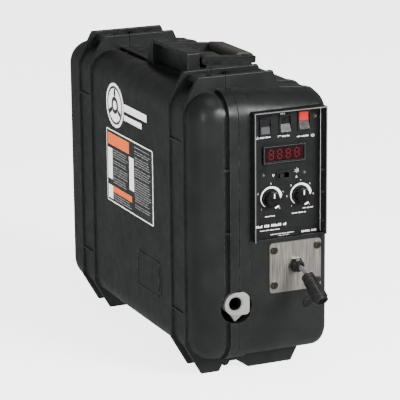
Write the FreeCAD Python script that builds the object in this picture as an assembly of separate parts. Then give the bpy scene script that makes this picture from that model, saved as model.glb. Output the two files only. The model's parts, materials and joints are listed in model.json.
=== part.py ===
import FreeCAD, Part
import math
import os

# Portable suitcase wire feeder: a moulded clam-shell case that holds a wire spool and a
# wire drive, with its controls on the front of the fixed half and a door on the other half.
# Frame: X to the right seen from the front, -Y out of the front, +Z up. The origin is the
# centre of the footprint, on the surface that the feet rest on. Millimetres.

V = FreeCAD.Vector
AXES = {"X": V(1, 0, 0), "Y": V(0, 1, 0), "Z": V(0, 0, 1)}

# ---- case ----
DOOR_SIDE_X = -102.5
BASE_SIDE_X = 102.0
HALF_LENGTH = 254.0
BODY_BOTTOM = 24.0
BODY_TOP = 409.0
WALL = 4.0
LENGTH_ROUND = 36.0
DOOR_EDGE_ROUND = 34.0
BASE_EDGE_ROUND = 18.0
SEAM_X = -40.0
SEAM_GAP = 1.0
DOOR_EDGE = SEAM_X - SEAM_GAP / 2
BASE_EDGE = SEAM_X + SEAM_GAP / 2
RIM_PROUD = 2.0
DOOR_RIM_X = -53.9
BASE_RIM_X = -24.0
GROOVE_X = -61.7
GROOVE_DEPTH = 4.0
GROOVE_RIB = 3.0
RIM_INSET = 8.0
TOP_FALL = 0.085
TOP_BEND = 120.0

# ---- ridges that carry the ears and feet ----
RIDGE_YS = (-210.4, -162.1, 136.7, 185.0)
RIDGE_THICK = 7.0
RIDGE_PROUD = 3.0
RIDGE_SIDE = 105.3
EAR_TOP = 429.7
EAR_LEFT = -81.4
EAR_RIGHT = 32.8
SLANT_LOW = 43.7
SLANT_HIGH = 385.8
FOOT_LEFT = -80.2
FOOT_RIGHT = 60.9
FOOT_INNER = -7.0
STRIP_RIB_ZS = (89.5, 337.5)

# ---- door hinge ----
HINGE_Z = 11.0
KNUCKLE_R = 6.5
HINGE_PIN_R = 2.5
HINGE_CLEAR = 0.05

# ---- latches ----
LATCH_X = -72.0
LATCH_Z = 420.0
LATCH_TIP_X = -20.0
LATCH_PIN_R = 2.5
LATCH_HALF = 17.0

# ---- carrying handle ----
HANDLE_FRONT = -130.0
HANDLE_REAR = -2.0
RAIL_LEFT = -60.0
RAIL_RIGHT = -41.6
RAIL_TOP = 447.0
BAIL_X = -32.0
BAIL_Z = 434.0
BAIL_REACH = 82.0
BLOCK_TOP = 442.5
GRIP_LIFT = 2.0
BAIL_DROOP = 5.0
BAIL_ARM = 16.0
BAIL_HALF = 6.0
BAIL_PIN_R = 3.0

# ---- control panel and guard ----
PANEL_LEFT = -20.5
PANEL_RIGHT = 91.5
PANEL_LOW = 199.0
PANEL_HIGH = 383.0
PANEL_FACE = -248.5
GUARD_FRONT = -266.0
SHEET = 1.6
PANEL_GAP = 0.3
ROCKER_TILT = 10.0
# name: centre X, centre Z, width, height
ROCKERS = {
    "purge_rocker": (4.0, 359.2, 14.5, 22.5),
    "hold_rocker": (34.5, 360.0, 15.5, 24.0),
    "power_rocker": (63.6, 362.0, 16.3, 26.0),
}
DISPLAY = (32.3, 318.5, 66.0, 26.0)
SLIDER = (32.0, 287.5, 22.0, 13.0)
SLOT_HALF = 3.6
KNOBS = {"voltage_knob": (11.7, 256.3), "speed_knob": (57.9, 256.3)}
KNOB_R = 12.5
KNOB_DEPTH = 11.0
LAMPS = ((81.0, 367.2), (0.0, 290.1), (64.0, 288.0))

# ---- connector plate and trigger lead ----
PLATE = (6.8, 87.5, 119.4, 191.9)
PLATE_THICK = 1.5
SCREW_R = 2.0
GLAND = (48.0, 157.3)
LEAD_D = 6.5
LEAD_ROUTE = (
    (48.0, -255.5, 157.3),
    (48.0, -268.5, 157.3),
    (49.0, -281.6, 153.3),
    (50.3, -292.2, 145.1),
)
PLUG_BACK = 6.4
PLUG_LENGTH = 47.0
HOLE_PLUG = (66.4, 98.3)

# ---- gun outlet ----
GUN_X = -45.5
GUN_Z = 111.0
GUN_BORE_R = 9.8
GUN_BORE_DEPTH = 42.0
GUN_FRONT = -255.0
GUN_REAR = -210.0
CUTOUT = (-44.2, 106.4, 24.0)

# ---- rear fittings: centre X, centre Z ----
WELD_SOCKET = (34.0, 130.0)
GAS_INLET = (70.0, 130.0)
GAS_STEM_R = 7.9
WELD_BORE_R = 6.5
REAR_END = 266.0
REAR_SCREW_X = (15.0, 85.0)
REAR_SCREW_Z = (97.0, 163.0)

# ---- bulkhead ----
BULKHEAD_X = 8.0
BULKHEAD_THICK = 3.0

# ---- wire drive ----
ROLL_Y = -150.0
ROLL_R = 20.0
WIRE_R = 0.6
PITCH_R = ROLL_R + WIRE_R + 0.05
TEETH = 20
ARM_PIVOT_Y = -195.0
ADJUST_X = -34.0
ADJUST_Y = -104.0
ADJUST_Z = 146.0

# ---- spool ----
SPOOL_Y = 84.0
SPOOL_Z = 214.0
SPOOL_R = 150.0
SPOOL_LEFT = -90.0
SPOOL_RIGHT = 3.0
SPOOL_BORE_R = 26.0
BARREL_R = 55.0
WINDING_R = 112.0


def box(x0, x1, y0, y1, z0, z1):
    """A block between two corners."""
    return Part.makeBox(x1 - x0, y1 - y0, z1 - z0, V(x0, y0, z0))


def rod(axis, centre, radius, start, end):
    """A cylinder along a row axis, between two places on that axis."""
    place = dict(zip("XYZ", centre))
    place[axis] = start
    base = V(place["X"], place["Y"], place["Z"])
    return Part.makeCylinder(radius, end - start, base, AXES[axis])


def cone(axis, centre, r0, r1, start, end):
    """A tapered rod along a row axis, r0 wide at its start and r1 at its end."""
    place = dict(zip("XYZ", centre))
    place[axis] = start
    base = V(place["X"], place["Y"], place["Z"])
    return Part.makeCone(r0, r1, end - start, base, AXES[axis])


def tube(axis, centre, outer, inner, start, end):
    """A ring with a bore."""
    return rod(axis, centre, outer, start, end).cut(rod(axis, centre, inner, start, end))


def prism(points, direction):
    """A closed outline swept along a vector."""
    outline = [V(*p) for p in points]
    outline.append(outline[0])
    return Part.Face(Part.makePolygon(outline)).extrude(V(*direction))


def edges_along(shape, axis, least=0.999):
    """The straight edges that run along one row axis."""
    found = []
    for edge in shape.Edges:
        if not isinstance(edge.Curve, Part.Line):
            continue
        if abs(edge.tangentAt(edge.FirstParameter).dot(AXES[axis])) > least:
            found.append(edge)
    return found


def soft_box(x0, x1, y0, y1, z0, z1, radius, axis="Y"):
    """A block whose edges along one axis are rounded."""
    block = box(x0, x1, y0, y1, z0, z1)
    return block.makeFillet(radius, edges_along(block, axis))


def soften(shape, radius):
    """The same solid with every edge slightly rounded."""
    return shape.makeFillet(radius, shape.Edges)


def join(shapes):
    """Several overlapping solids as one."""
    whole = shapes[0].multiFuse(shapes[1:])
    return whole.removeSplitter()


def cut_all(shape, tools):
    """A solid less several others."""
    for tool in tools:
        shape = shape.cut(tool)
    return shape


def turned(shape, centre, axis, degrees):
    """A solid turned about an axis through a point."""
    copy = shape.copy()
    copy.rotate(V(*centre), AXES[axis], degrees)
    return copy


# ------------------------------------------------------------------ case

def end_edges(shape, x):
    """The edges of a prism's end face that lies at one X."""
    return [e for e in shape.Edges if all(abs(v.Point.x - x) < 0.01 for v in e.Vertexes)]


def case_top(x):
    """The height of the case's top, which falls away over the base half."""
    return BODY_TOP - TOP_FALL * max(0.0, x - BASE_RIM_X)


def case_body(inset):
    """The case's outer form, or its hollow when inset by the wall."""
    left = DOOR_SIDE_X + inset
    right = BASE_SIDE_X - inset
    y0 = -HALF_LENGTH + inset
    low = BODY_BOTTOM + inset
    high = BODY_TOP - inset
    half_turn = math.atan(TOP_FALL) / 2
    trim = TOP_BEND * math.tan(half_turn)
    fall = 2 * half_turn
    bend = [
        V(BASE_RIM_X - trim, y0, high),
        V(BASE_RIM_X - trim + TOP_BEND * math.sin(half_turn), y0,
          high - TOP_BEND * (1 - math.cos(half_turn))),
        V(BASE_RIM_X + trim * math.cos(fall), y0, high - trim * math.sin(fall)),
    ]
    corners = [bend[2], V(right, y0, case_top(right) - inset), V(right, y0, low),
               V(left, y0, low), V(left, y0, high), bend[0]]
    edges = [Part.LineSegment(p, q).toShape() for p, q in zip(corners, corners[1:])]
    edges.append(Part.Arc(*bend).toShape())
    body = Part.Face(Part.Wire(edges)).extrude(V(0, -2 * y0, 0))
    body = body.makeFillet(LENGTH_ROUND - inset, edges_along(body, "X", 0.99))
    body = body.makeFillet(DOOR_EDGE_ROUND - inset, end_edges(body, left))
    return body.makeFillet(BASE_EDGE_ROUND - inset, end_edges(body, right))


def section(x0, x1, offset):
    """A length of the case's rounded cross-section, grown by an offset."""
    block = box(x0, x1, -HALF_LENGTH - offset, HALF_LENGTH + offset,
                BODY_BOTTOM - offset, BODY_TOP + offset)
    return block.makeFillet(LENGTH_ROUND + offset, edges_along(block, "X"))


def band(x0, x1, outer, inner):
    """A hoop that follows the cross-section between two offsets."""
    return section(x0, x1, outer).cut(section(x0 - 1, x1 + 1, inner))


def left_of(x):
    return box(x - 400, x, -400, 400, -100, 600)


def right_of(x):
    return box(x, x + 400, -400, 400, -100, 600)


def ridge(y):
    """One upright ridge around the case, with an ear above and a foot below."""
    right = RIDGE_SIDE
    low = BODY_BOTTOM - RIDGE_PROUD
    shoulder = case_top(right - 22) + RIDGE_PROUD
    corner = 15.0
    points = [
        (-right, SLANT_LOW), (-right, SLANT_HIGH), (EAR_LEFT, EAR_TOP), (EAR_RIGHT, EAR_TOP),
        (EAR_RIGHT + 10, case_top(EAR_RIGHT + 10) + RIDGE_PROUD), (right - 22, shoulder),
        (right - 13, shoulder - 2.5), (right - 5.8, shoulder - 8.6), (right - 1.3, shoulder - 16.5),
        (right, shoulder - 24), (right, low + corner), (right - 4.5, low + 4.5),
        (right - corner, low), (FOOT_RIGHT + 11, low), (FOOT_RIGHT, 0.0),
        (FOOT_INNER, 0.0), (SEAM_X + 14, HINGE_Z + 2), (SEAM_X - 6, HINGE_Z + 2),
        (SEAM_X - 13, 0.0), (FOOT_LEFT, 0.0),
    ]
    plate = prism([(x, y - RIDGE_THICK / 2, z) for x, z in points], (0, RIDGE_THICK, 0))
    return soften(plate, 1.4)


def ridges():
    return [ridge(y).cut(case_body(WALL)) for y in RIDGE_YS]


def bands():
    """The front and rear gaps between ridges, where latches and hinges sit."""
    gap = RIDGE_THICK / 2
    front = (RIDGE_YS[0] + gap, RIDGE_YS[1] - gap)
    rear = (RIDGE_YS[2] + gap, RIDGE_YS[3] - gap)
    return (front, rear)


def strip_ribs(side):
    """Short level ribs that bridge each ridge pair on one side of the case."""
    ribs = []
    for y0, y1 in bands():
        for z in STRIP_RIB_ZS:
            x0, x1 = sorted((side * 100.0, side * (RIDGE_SIDE - 0.8)))
            ribs.append(box(x0, x1, y0 - 1, y1 + 1, z - 1.5, z + 1.5))
    return ribs


def groove_ribs():
    """Small ribs that bridge the groove behind the door's rim."""
    x0, x1 = GROOVE_X - 0.5, DOOR_RIM_X + 0.5
    ribs = []
    for z in (124.0, 214.0, 304.0):
        for y in (-HALF_LENGTH, HALF_LENGTH - GROOVE_DEPTH - 1):
            if z > 130 or y > 0:
                y0 = y if y > 0 else y + 0.3
                ribs.append(box(x0, x1, y0, y0 + GROOVE_DEPTH + 0.7, z - 1.5, z + 1.5))
    for y in (-50.0, 27.0, 104.0):
        ribs.append(box(x0, x1, y - 1.5, y + 1.5, BODY_TOP - GROOVE_DEPTH - 1, BODY_TOP - 0.3))
        ribs.append(box(x0, x1, y - 1.5, y + 1.5, BODY_BOTTOM + 0.3, BODY_BOTTOM + GROOVE_DEPTH + 1))
    return ribs


def cutout_tool():
    x, z, radius = CUTOUT
    return rod("Y", (x, 0, z), radius, -HALF_LENGTH - 10, -HALF_LENGTH + 14)


def knuckles(y0, y1, side):
    """A hinge knuckle with the web that ties it to the rim, on the door's or base's side."""
    centre = (SEAM_X, 0, HINGE_Z)
    barrel = rod("Y", centre, KNUCKLE_R, y0, y1)
    near, far = SEAM_X + side * 0.7, SEAM_X + side * KNUCKLE_R
    web = box(min(near, far), max(near, far), y0, y1, HINGE_Z, BODY_BOTTOM + 1)
    whole = barrel.fuse(web)
    return whole.cut(rod("Y", centre, HINGE_PIN_R + HINGE_CLEAR, y0 - 1, y1 + 1))


def hinge_spans():
    """For each band: the door knuckle's span and the two base knuckles' spans."""
    spans = []
    for y0, y1 in bands():
        spans.append(((y0 + 9.5, y1 - 9.5), (y0 + 0.6, y0 + 9.0), (y1 - 9.0, y1 - 0.6)))
    return spans


def door_rail():
    """The moulded rail on the door that shields the carrying handle."""
    front, rear = HANDLE_FRONT, HANDLE_REAR
    outline = [(front, BODY_TOP - 3), (front, RAIL_TOP), (rear, RAIL_TOP), (rear + 23, BODY_TOP - 3)]
    bar = prism([(RAIL_LEFT, y, z) for y, z in outline], (RAIL_RIGHT - RAIL_LEFT, 0, 0))
    bar = bar.makeFillet(2.5, edges_along(bar, "X"))
    hollow = box(RAIL_LEFT - 1, RAIL_RIGHT - 5, front + 3, rear - 3, BODY_TOP + 1.5, RAIL_TOP - 5)
    return [bar.cut(hollow)]


def side_frame():
    """A raised outline low on the door's side."""
    y0, y1, z0, z1 = -122.0, -36.0, 88.0, 142.0
    x0 = DOOR_SIDE_X - 0.8
    outer = box(x0, DOOR_SIDE_X + 1, y0, y1, z0, z1)
    inner = box(x0 - 1, DOOR_SIDE_X + 2, y0 + 2, y1 - 2, z0 + 2, z1 - 2)
    rib = box(x0, DOOR_SIDE_X + 1, y0 + 6, y0 + 8, z0 + 1, z1 - 1)
    return [outer.cut(inner), rib]


def door_shell():
    """The hinged half of the case."""
    shell = case_body(0).common(left_of(DOOR_EDGE)).cut(case_body(WALL))
    shell = shell.fuse(band(GROOVE_X - 5, DOOR_EDGE, -0.5, -RIM_INSET).common(left_of(DOOR_EDGE)))
    shell = shell.cut(band(GROOVE_X, DOOR_RIM_X, 3, -GROOVE_DEPTH))
    parts = [shell, band(DOOR_RIM_X, DOOR_EDGE, RIM_PROUD, -RIM_INSET)]
    parts += groove_ribs() + strip_ribs(-1) + side_frame() + door_rail()
    parts += [r.common(left_of(DOOR_EDGE)) for r in ridges()]
    for door_span, _, _ in hinge_spans():
        parts.append(knuckles(*door_span, -1))
    whole = join(parts)
    tools = [cutout_tool()]
    for y0, y1 in bands():
        tools.append(rod("Y", (LATCH_X, 0, LATCH_Z), LATCH_PIN_R, y0 - 4, y1 + 4))
    for door_span, _, _ in hinge_spans():
        y0, y1 = door_span
        tools.append(rod("Y", (SEAM_X, 0, HINGE_Z), HINGE_PIN_R + HINGE_CLEAR, y0 - 1, y1 + 1))
    return cut_all(whole, tools)


def keepers():
    """The base's catch blocks that the latch tongues lie on."""
    blocks = []
    for y0, y1 in bands():
        blocks.append(soft_box(SEAM_X + 5, SEAM_X + 15, y0 + 7, y1 - 7, BODY_TOP - 2, 415.4, 1.5))
    return blocks


def handle_block():
    """The upright bar between the carrying handle's arms, which holds its pivot pins."""
    y0, y1 = HANDLE_FRONT + BAIL_ARM + 0.6, HANDLE_REAR - BAIL_ARM - 0.6
    x0, x1 = BAIL_X - 6.0, BAIL_X + 8.0
    stem = box(x0, x1, y0, y1, BODY_TOP - 3, BAIL_Z)
    cap = soft_box(x0, x1, y0, y1, BAIL_Z - 10, BLOCK_TOP, 4.5)
    tools = [rod("Y", (BAIL_X, 0, BAIL_Z), BAIL_PIN_R, y0 - 1, HANDLE_FRONT + 26),
             rod("Y", (BAIL_X, 0, BAIL_Z), BAIL_PIN_R, HANDLE_REAR - 26, y1 + 1)]
    return [cut_all(stem.fuse(cap), tools)]


def rear_holes():
    """Openings in the rear wall for the weld and gas fittings."""
    y0, y1 = HALF_LENGTH - 12, HALF_LENGTH + 6
    return [
        rod("Y", (WELD_SOCKET[0], 0, WELD_SOCKET[1]), 17.0, y0, y1),
        rod("Y", (GAS_INLET[0], 0, GAS_INLET[1]), 10.0, y0, y1),
    ]


def base_shell():
    """The fixed half of the case, with the windows for its fittings."""
    shell = case_body(0).common(right_of(BASE_EDGE)).cut(case_body(WALL))
    shell = shell.fuse(band(BASE_EDGE, BASE_RIM_X + 4, -0.5, -RIM_INSET + 1))
    parts = [shell, band(BASE_EDGE, BASE_RIM_X, RIM_PROUD, -RIM_INSET + 1)]
    parts += keepers() + handle_block() + strip_ribs(1)
    parts += [r.common(right_of(BASE_EDGE)) for r in ridges()]
    for _, near, far in hinge_spans():
        parts.append(knuckles(*near, 1))
        parts.append(knuckles(*far, 1))
    whole = join(parts)
    gap = PANEL_GAP
    tools = [
        cutout_tool(),
        box(PANEL_LEFT - gap, PANEL_RIGHT + gap, -HALF_LENGTH - 8, -HALF_LENGTH + 14,
            PANEL_LOW - gap, PANEL_HIGH + gap),
        rod("Y", (GLAND[0], 0, GLAND[1]), 9.0, -HALF_LENGTH - 1, -HALF_LENGTH + 8),
        rod("Y", (HOLE_PLUG[0], 0, HOLE_PLUG[1]), 5.0, -HALF_LENGTH - 1, -HALF_LENGTH + 8),
    ]
    tools += rear_holes()
    tools += [rod("Y", (x, 0, z), SCREW_R, -HALF_LENGTH - 1, -HALF_LENGTH + WALL)
              for x, z in plate_corners()]
    tools += [rod("Y", (x, 0, z), SCREW_R, HALF_LENGTH - WALL, HALF_LENGTH + 1)
              for x in REAR_SCREW_X for z in REAR_SCREW_Z]
    return cut_all(whole, tools)


def case_seal():
    """The soft gasket between the two halves, set in the base's rim."""
    hoop = band(DOOR_EDGE + 0.3, BASE_EDGE, -1.5, -5.5)
    x, z, radius = CUTOUT
    return hoop.cut(rod("Y", (x, 0, z), radius + 1, -HALF_LENGTH - 10, -HALF_LENGTH + 14))


def pivot_pins():
    """The door's hinge pins, and the handle's pins, each pressed in a lug of the base."""
    pins = []
    for y0, y1 in bands():
        pins.append(rod("Y", (SEAM_X, 0, HINGE_Z), HINGE_PIN_R, y0 + 0.6, y1 - 0.6))
    for y0, y1 in ((HANDLE_FRONT + 3.2, HANDLE_FRONT + 26), (HANDLE_REAR - 26, HANDLE_REAR - 3.2)):
        pins.append(rod("Y", (BAIL_X, 0, BAIL_Z), BAIL_PIN_R, y0, y1))
    return pins


# ------------------------------------------------------------------ latches

def latch(span):
    """A draw latch that lies over the seam between two ridges."""
    middle = (span[0] + span[1]) / 2
    y0, y1 = middle - LATCH_HALF, middle + LATCH_HALF
    hub = rod("Y", (LATCH_X, 0, LATCH_Z), 5.5, y0, y1)
    outline = [
        (LATCH_X, LATCH_Z - 4.5), (LATCH_X, LATCH_Z + 5.4), (-46, LATCH_Z + 5.4),
        (-30, LATCH_Z + 1.5), (LATCH_TIP_X - 4, LATCH_Z + 1.5), (LATCH_TIP_X, LATCH_Z + 6.5),
        (LATCH_TIP_X + 2, LATCH_Z + 5.5), (LATCH_TIP_X - 2, LATCH_Z - 3.5), (-46, LATCH_Z - 3.5),
        (-60, LATCH_Z - 4.5),
    ]
    plate = prism([(x, y0, z) for x, z in outline], (0, y1 - y0, 0))
    body = join([hub, plate])
    grip = rod("Y", (-54, 0, LATCH_Z + 9.6), 7.0, y0 + 4, y1 - 4)
    body = body.cut(grip)
    return body.cut(rod("Y", (LATCH_X, 0, LATCH_Z), LATCH_PIN_R + 0.05, y0 - 1, y1 + 1))


def latch_pins():
    return [rod("Y", (LATCH_X, 0, LATCH_Z), LATCH_PIN_R, y0 - 4, y1 + 4) for y0, y1 in bands()]


# ------------------------------------------------------------------ handle

def bail_frame(shape):
    """Tilt a piece drawn level down to the folded handle's slope."""
    return turned(shape, (BAIL_X, 0, BAIL_Z), "Y", BAIL_DROOP)


def handle_bail():
    """The folding carrying handle: two arms and the core of its grip."""
    outer = BAIL_X + BAIL_REACH
    z0, z1 = BAIL_Z - BAIL_HALF, BAIL_Z + BAIL_HALF
    arms = []
    for y0 in (HANDLE_FRONT, HANDLE_REAR - BAIL_ARM):
        arm = box(BAIL_X, outer - 9, y0, y0 + BAIL_ARM, z0, z1)
        arms.append(arm.fuse(rod("Y", (BAIL_X, 0, BAIL_Z), BAIL_HALF, y0, y0 + BAIL_ARM)))
    bar = box(outer - 21, outer, HANDLE_FRONT, HANDLE_REAR, z0 + 1 + GRIP_LIFT, z1 - 1 + GRIP_LIFT)
    bar = bar.makeFillet(4.5, edges_along(bar, "Y"))
    corners = box(outer - 9, outer + 10, HANDLE_FRONT - 5, HANDLE_REAR + 5, z0 - 5, z1 + 5)
    round_bar = soft_box(outer - 60, outer, HANDLE_FRONT, HANDLE_REAR, z0 - 5, z1 + 5, 9.0, "Z")
    whole = join(arms + [bar]).cut(corners.cut(round_bar))
    tools = [rod("Y", (BAIL_X, 0, BAIL_Z), BAIL_PIN_R + 0.05, HANDLE_FRONT + 3, HANDLE_REAR - 3)]
    return bail_frame(cut_all(whole, tools))


def handle_grip():
    """The soft sleeve moulded over the handle's bar."""
    outer = BAIL_X + BAIL_REACH
    y0, y1 = HANDLE_FRONT + BAIL_ARM + 1, HANDLE_REAR - BAIL_ARM - 1
    middle = BAIL_Z + GRIP_LIFT
    sleeve = box(outer - 27, outer + 0.8, y0, y1, middle - 7.5, middle + 7.5)
    sleeve = sleeve.makeFillet(6.5, edges_along(sleeve, "Y"))
    core = box(outer - 21, outer, y0 - 1, y1 + 1, middle - 5, middle + 5)
    core = core.makeFillet(4.5, edges_along(core, "Y"))
    return bail_frame(sleeve.cut(core))


# ------------------------------------------------------------------ control panel

def control_panel():
    """The folded sheet panel: a face plate with a hood flange and two side flanges."""
    x0, x1, z0, z1 = PANEL_LEFT, PANEL_RIGHT, PANEL_LOW, PANEL_HIGH
    back = PANEL_FACE + SHEET
    face = box(x0, x1, PANEL_FACE, back, z0, z1)
    top = box(x0, x1, GUARD_FRONT, back + 4, z1 - SHEET, z1)
    left = box(x0, x0 + SHEET, GUARD_FRONT, back + 4, z0, z1)
    right = box(x1 - SHEET, x1, GUARD_FRONT, back + 4, z0, z1)
    panel = join([face, top, left, right])
    y0, y1 = PANEL_FACE - 1, back + 1
    tools = [rod("Y", (x, 0, z), 2.6, y0, y1) for x, z in LAMPS]
    for cx, cz, w, h in ROCKERS.values():
        tools.append(box(cx - w / 2 - 1, cx + w / 2 + 1, y0, y1, cz - h / 2 - 1, cz + h / 2 + 1))
    cx, cz, w, h = DISPLAY
    tools.append(box(cx - w / 2 + 2, cx + w / 2 - 2, y0, y1, cz - h / 2 + 2, cz + h / 2 - 2))
    cx, cz, w, h = SLIDER
    tools.append(box(cx - w / 2 + 3, cx + w / 2 - 3, y0, y1,
                     cz - SLOT_HALF, cz + SLOT_HALF))
    tools += [rod("Y", (cx, 0, cz), 4.0, y0, y1) for cx, cz in KNOBS.values()]
    return cut_all(panel, tools)


def guard_rivets():
    """Round-headed rivets on the guard's side flanges."""
    rivets = []
    for x0, x1 in ((PANEL_LEFT + SHEET, PANEL_LEFT + SHEET + 1.2),
                   (PANEL_RIGHT - SHEET - 1.2, PANEL_RIGHT - SHEET)):
        for z in (PANEL_LOW + 18, PANEL_LOW + 60, PANEL_LOW + 92):
            rivets.append(rod("X", (0, GUARD_FRONT + 9, z), 2.2, x0, x1))
    return rivets


def switch_frames():
    """The rockers' bodies, each a bezel and a case behind it, and the slide switch's bezel."""
    frames = [slider_frame()]
    for cx, cz, w, h in ROCKERS.values():
        y1 = PANEL_FACE
        bezel = soft_box(cx - w / 2 - 2, cx + w / 2 + 2, y1 - 1.8, y1,
                         cz - h / 2 - 2, cz + h / 2 + 2, 1.5)
        case = box(cx - w / 2 - 1, cx + w / 2 + 1, y1, y1 + 22, cz - h / 2 - 1, cz + h / 2 + 1)
        well = box(cx - w / 2, cx + w / 2, y1 - 3, y1 + 9, cz - h / 2, cz + h / 2)
        frames.append(bezel.fuse(case).cut(well))
    return frames


def rocker(name):
    """A rocker cap, round-ended about its pivot so that it clears its frame."""
    cx, cz, w, h = ROCKERS[name]
    pivot = PANEL_FACE + 1.5
    half = h / 2 - 0.4
    width = w - 0.8
    outline = [(-half - 2, 3.5), (-half - 2, -2.8), (0, -1.0), (half + 2, -2.8), (half + 2, 3.5)]
    cap = prism([(cx - width / 2, pivot + y, cz + z) for z, y in outline], (width, 0, 0))
    cap = cap.common(rod("X", (0, pivot, cz), half, cx - width / 2, cx + width / 2))
    tilt = 0 if name == "purge_rocker" else -ROCKER_TILT
    return turned(cap, (cx, pivot, cz), "X", tilt)


def display_bezel():
    cx, cz, w, h = DISPLAY
    outer = soft_box(cx - w / 2, cx + w / 2, PANEL_FACE - 3, PANEL_FACE,
                     cz - h / 2, cz + h / 2, 2.0)
    return outer.cut(box(cx - w / 2 + 3, cx + w / 2 - 3, PANEL_FACE - 4, PANEL_FACE + 1,
                         cz - h / 2 + 3, cz + h / 2 - 3))


def display_window():
    """The red filter in front of the digits."""
    cx, cz, w, h = DISPLAY
    return box(cx - w / 2 + 3, cx + w / 2 - 3, PANEL_FACE - 1.6, PANEL_FACE - 0.2,
               cz - h / 2 + 3, cz + h / 2 - 3)


def display_module():
    """The digit block behind the filter."""
    cx, cz, w, h = DISPLAY
    return box(cx - w / 2 + 4, cx + w / 2 - 4, PANEL_FACE + 0.2, PANEL_FACE + 9,
               cz - h / 2 + 4, cz + h / 2 - 4)


def slider_frame():
    cx, cz, w, h = SLIDER
    bezel = soft_box(cx - w / 2, cx + w / 2, PANEL_FACE - 1.2, PANEL_FACE,
                     cz - h / 2, cz + h / 2, 1.5)
    return bezel.cut(box(cx - w / 2 + 3, cx + w / 2 - 3, PANEL_FACE - 3, PANEL_FACE + 1,
                         cz - SLOT_HALF, cz + SLOT_HALF))


def slider_knob():
    """The slide switch's lever, at the left end of its slot."""
    cx, cz, w, _ = SLIDER
    x0 = cx - w / 2 + 3.3
    lever = box(x0, x0 + 6, PANEL_FACE - 5, PANEL_FACE + 4, cz - SLOT_HALF + 0.3, cz + SLOT_HALF - 0.3)
    heel = box(x0 - 2, x0 + 8, PANEL_FACE + 2.5, PANEL_FACE + 5, cz - 5, cz + 5)
    return lever.fuse(heel)


def control_knob(cx, cz):
    """A fluted knob with a raised pointer."""
    front = PANEL_FACE - 1 - KNOB_DEPTH
    skirt = rod("Y", (cx, 0, cz), KNOB_R, PANEL_FACE - 4, PANEL_FACE - 1)
    cap = cone("Y", (cx, 0, cz), KNOB_R - 2.6, KNOB_R - 1.6, front, PANEL_FACE - 4)
    cap = cap.makeFillet(1.2, [e for e in cap.Edges if abs(e.CenterOfMass.y - front) < 0.01])
    body = join([skirt, cap])
    flutes = 18
    for i in range(flutes):
        a = 2 * math.pi * (i + 0.5) / flutes
        x, z = cx + (KNOB_R - 1.2) * math.cos(a), cz + (KNOB_R - 1.2) * math.sin(a)
        body = body.cut(rod("Y", (x, 0, z), 0.9, front - 1, PANEL_FACE - 5))
    pointer = box(cx - 0.9, cx + 0.9, front - 0.8, front + 1, cz + 2, cz + KNOB_R - 3)
    body = join([body, pointer])
    return body.cut(rod("Y", (cx, 0, cz), 3.05, front + 3, PANEL_FACE))


def potentiometers():
    """Two potentiometers behind the panel, whose shafts carry the knobs."""
    parts = []
    for cx, cz in KNOBS.values():
        shaft = rod("Y", (cx, 0, cz), 3.0, PANEL_FACE - 8, PANEL_FACE + 3)
        bush = rod("Y", (cx, 0, cz), 3.9, PANEL_FACE - 0.6, PANEL_FACE + 4)
        can = rod("Y", (cx, 0, cz), 9.0, PANEL_FACE + SHEET + 0.2, PANEL_FACE + 14)
        parts.append(join([shaft, bush, can]))
    return parts


def indicator_lamps():
    lamps = []
    for x, z in LAMPS:
        stem = rod("Y", (x, 0, z), 2.5, PANEL_FACE - 0.6, PANEL_FACE + 7)
        dome = Part.makeSphere(2.5, V(x, PANEL_FACE - 0.6, z))
        lamps.append(stem.fuse(dome))
    return lamps


def control_boards():
    """The main circuit board with its larger parts, and the display's digit block."""
    x = 78.0
    board = box(x, x + 1.6, -225, -50, 200, 385)
    blocks = [
        box(x - 22, x, -200, -170, 330, 365), box(x - 16, x, -150, -110, 340, 372),
        box(x - 28, x, -100, -66, 300, 340), box(x - 10, x, -205, -150, 215, 245),
    ]
    blocks += [rod("X", (0, y, 270), 9, x - 26, x) for y in (-190, -165, -140)]
    return [join([board] + blocks), display_module()]


# ------------------------------------------------------------------ connector plate

def connector_plate():
    x0, x1, z0, z1 = PLATE
    y0 = -HALF_LENGTH - PLATE_THICK
    plate = soft_box(x0, x1, y0, -HALF_LENGTH, z0, z1, 5.0)
    tools = [rod("Y", (x, 0, z), 2.2, y0 - 1, y0 + 3) for x, z in plate_corners()]
    tools.append(rod("Y", (GLAND[0], 0, GLAND[1]), 8.0, y0 - 1, y0 + 3))
    return cut_all(plate, tools)


def plate_corners():
    x0, x1, z0, z1 = PLATE
    return [(x, z) for x in (x0 + 7, x1 - 6) for z in (z0 + 11.5, z1 - 10)]


def pan_screw(x, z, face, direction, head):
    """A cross-recessed pan-head screw that holds a plate on a wall."""
    y_out = face + direction * 2.4
    y0, y1 = sorted((face, y_out))
    cap = rod("Y", (x, 0, z), head, y0, y1)
    cap = cap.makeFillet(1.4, [e for e in cap.Edges if abs(e.CenterOfMass.y - y_out) < 0.01])
    s0, s1 = sorted((face, face - direction * 3.5))
    shank = rod("Y", (x, 0, z), SCREW_R, s0, s1)
    r0, r1 = sorted((y_out - direction * 1.3, y_out + direction))
    reach, half = 0.55 * head, 0.13 * head
    slots = [box(x - reach, x + reach, r0, r1, z - half, z + half),
             box(x - half, x + half, r0, r1, z - reach, z + reach)]
    return cut_all(cap.fuse(shank), slots)


def plate_screws():
    """The screws of the front connector plate and of the rear plate."""
    face = -HALF_LENGTH - PLATE_THICK
    screws = [pan_screw(x, z, face, -1, 5.6) for x, z in plate_corners()]
    rear = HALF_LENGTH + SHEET
    return screws + [pan_screw(x, z, rear, 1, 4.2) for x in REAR_SCREW_X for z in REAR_SCREW_Z]


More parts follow.
